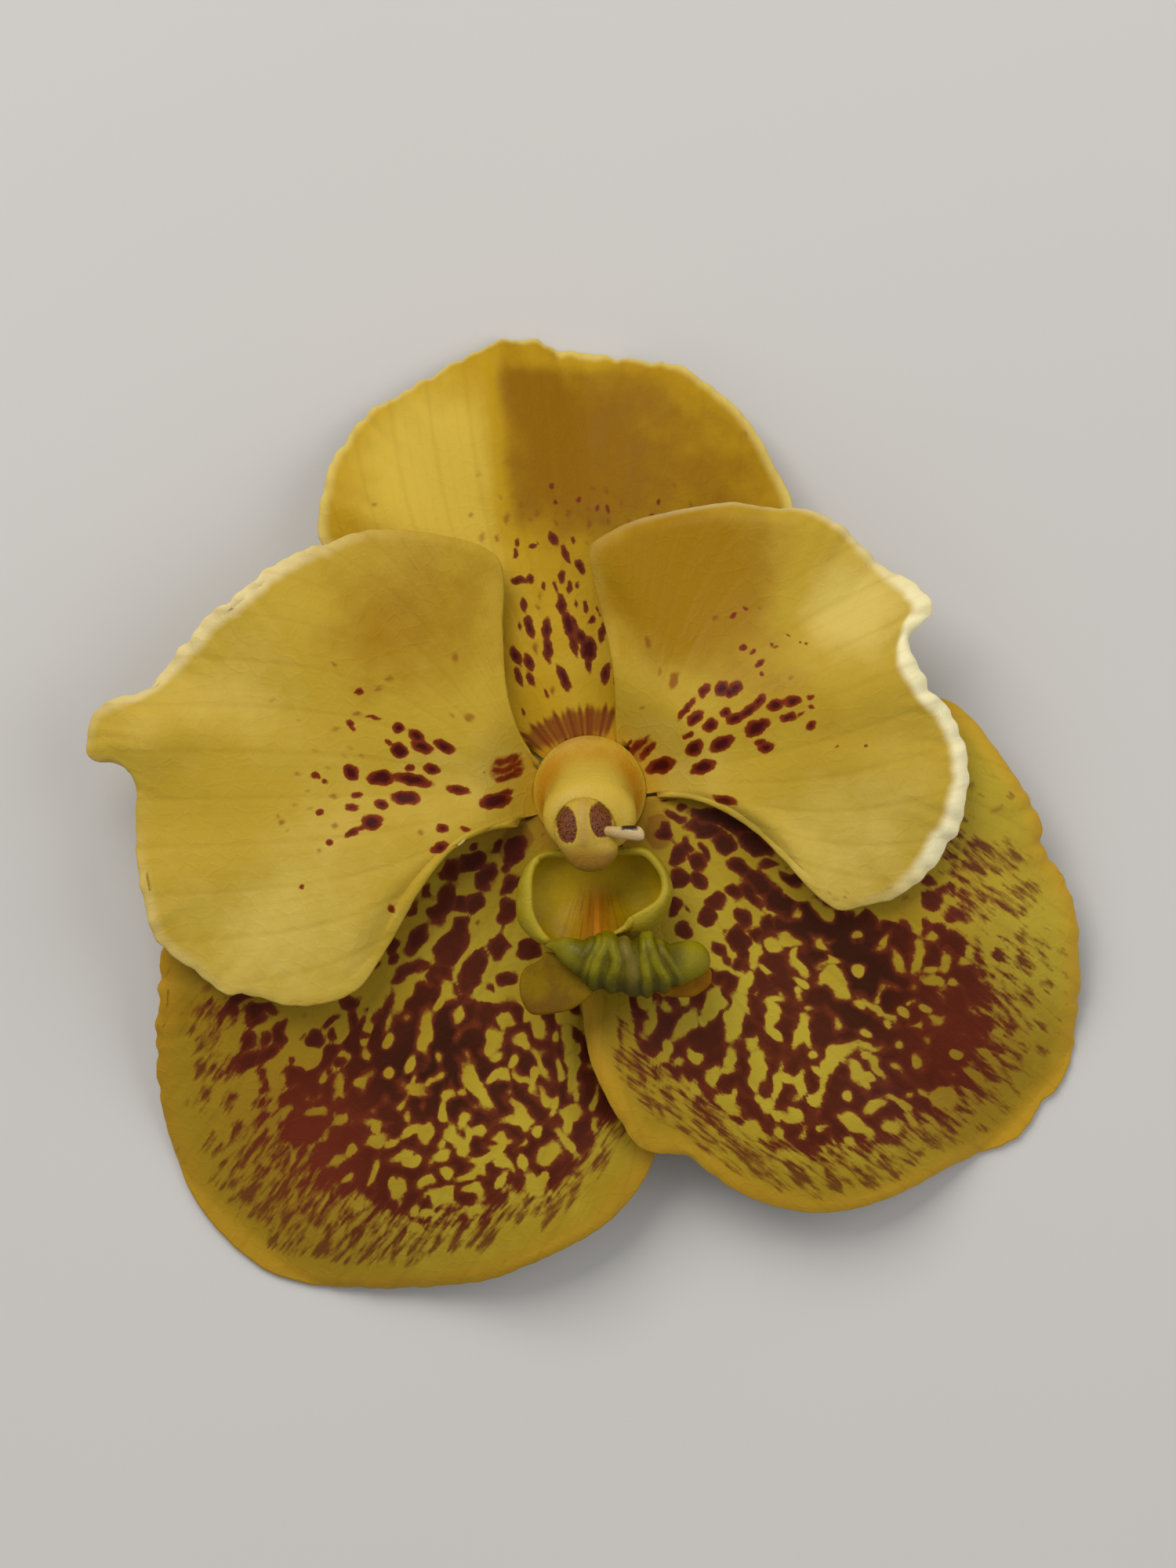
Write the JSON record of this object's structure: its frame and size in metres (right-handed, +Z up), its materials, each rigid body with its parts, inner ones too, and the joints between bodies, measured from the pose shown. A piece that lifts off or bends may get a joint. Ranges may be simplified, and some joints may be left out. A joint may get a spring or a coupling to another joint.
{
  "type": "vanda orchid bloom",
  "caption": "Yellow vanda orchid bloom with maroon-netted lower sepals, cupped lip and column, lying face up on its own stalk.",
  "frame": {"origin": "on the surface the bloom lies on, under the middle of its box", "axes": "+Z up, out of the bloom's face; +Y towards the dorsal sepal's tip; +X towards the right petal as seen from the front"},
  "size_m": [0.1008, 0.0978, 0.0206],
  "materials": {
    "petal": "waxy pale yellow petal with fine veins and maroon flecks",
    "dorsal_sepal": "waxy yellow sepal with red-brown flecks towards its claw",
    "lateral_sepal": "ochre-yellow sepal under a dense maroon net",
    "lip": "fleshy green and olive lip, satin, ridged",
    "column": "waxy pale yellow with an orange glow at its foot",
    "anther_cap": "creamy wax with two speckled brown ovals",
    "pollinarium": "whitish wax with a dark fleck",
    "stalk": "pale yellow-green grooved stalk",
    "stalk_base": "dull green swollen joint with a dark ring"
  },
  "bodies": {
    "root": {"petal_left": "petal", "petal_right": "petal", "dorsal_sepal": "dorsal_sepal", "lateral_sepal_left": "lateral_sepal", "lateral_sepal_right": "lateral_sepal", "lip": "lip", "column": "column", "anther_cap": "anther_cap", "pollinarium": "pollinarium", "flower_stalk": "stalk", "stalk_base": "stalk_base"}
  },
  "joints": []
}
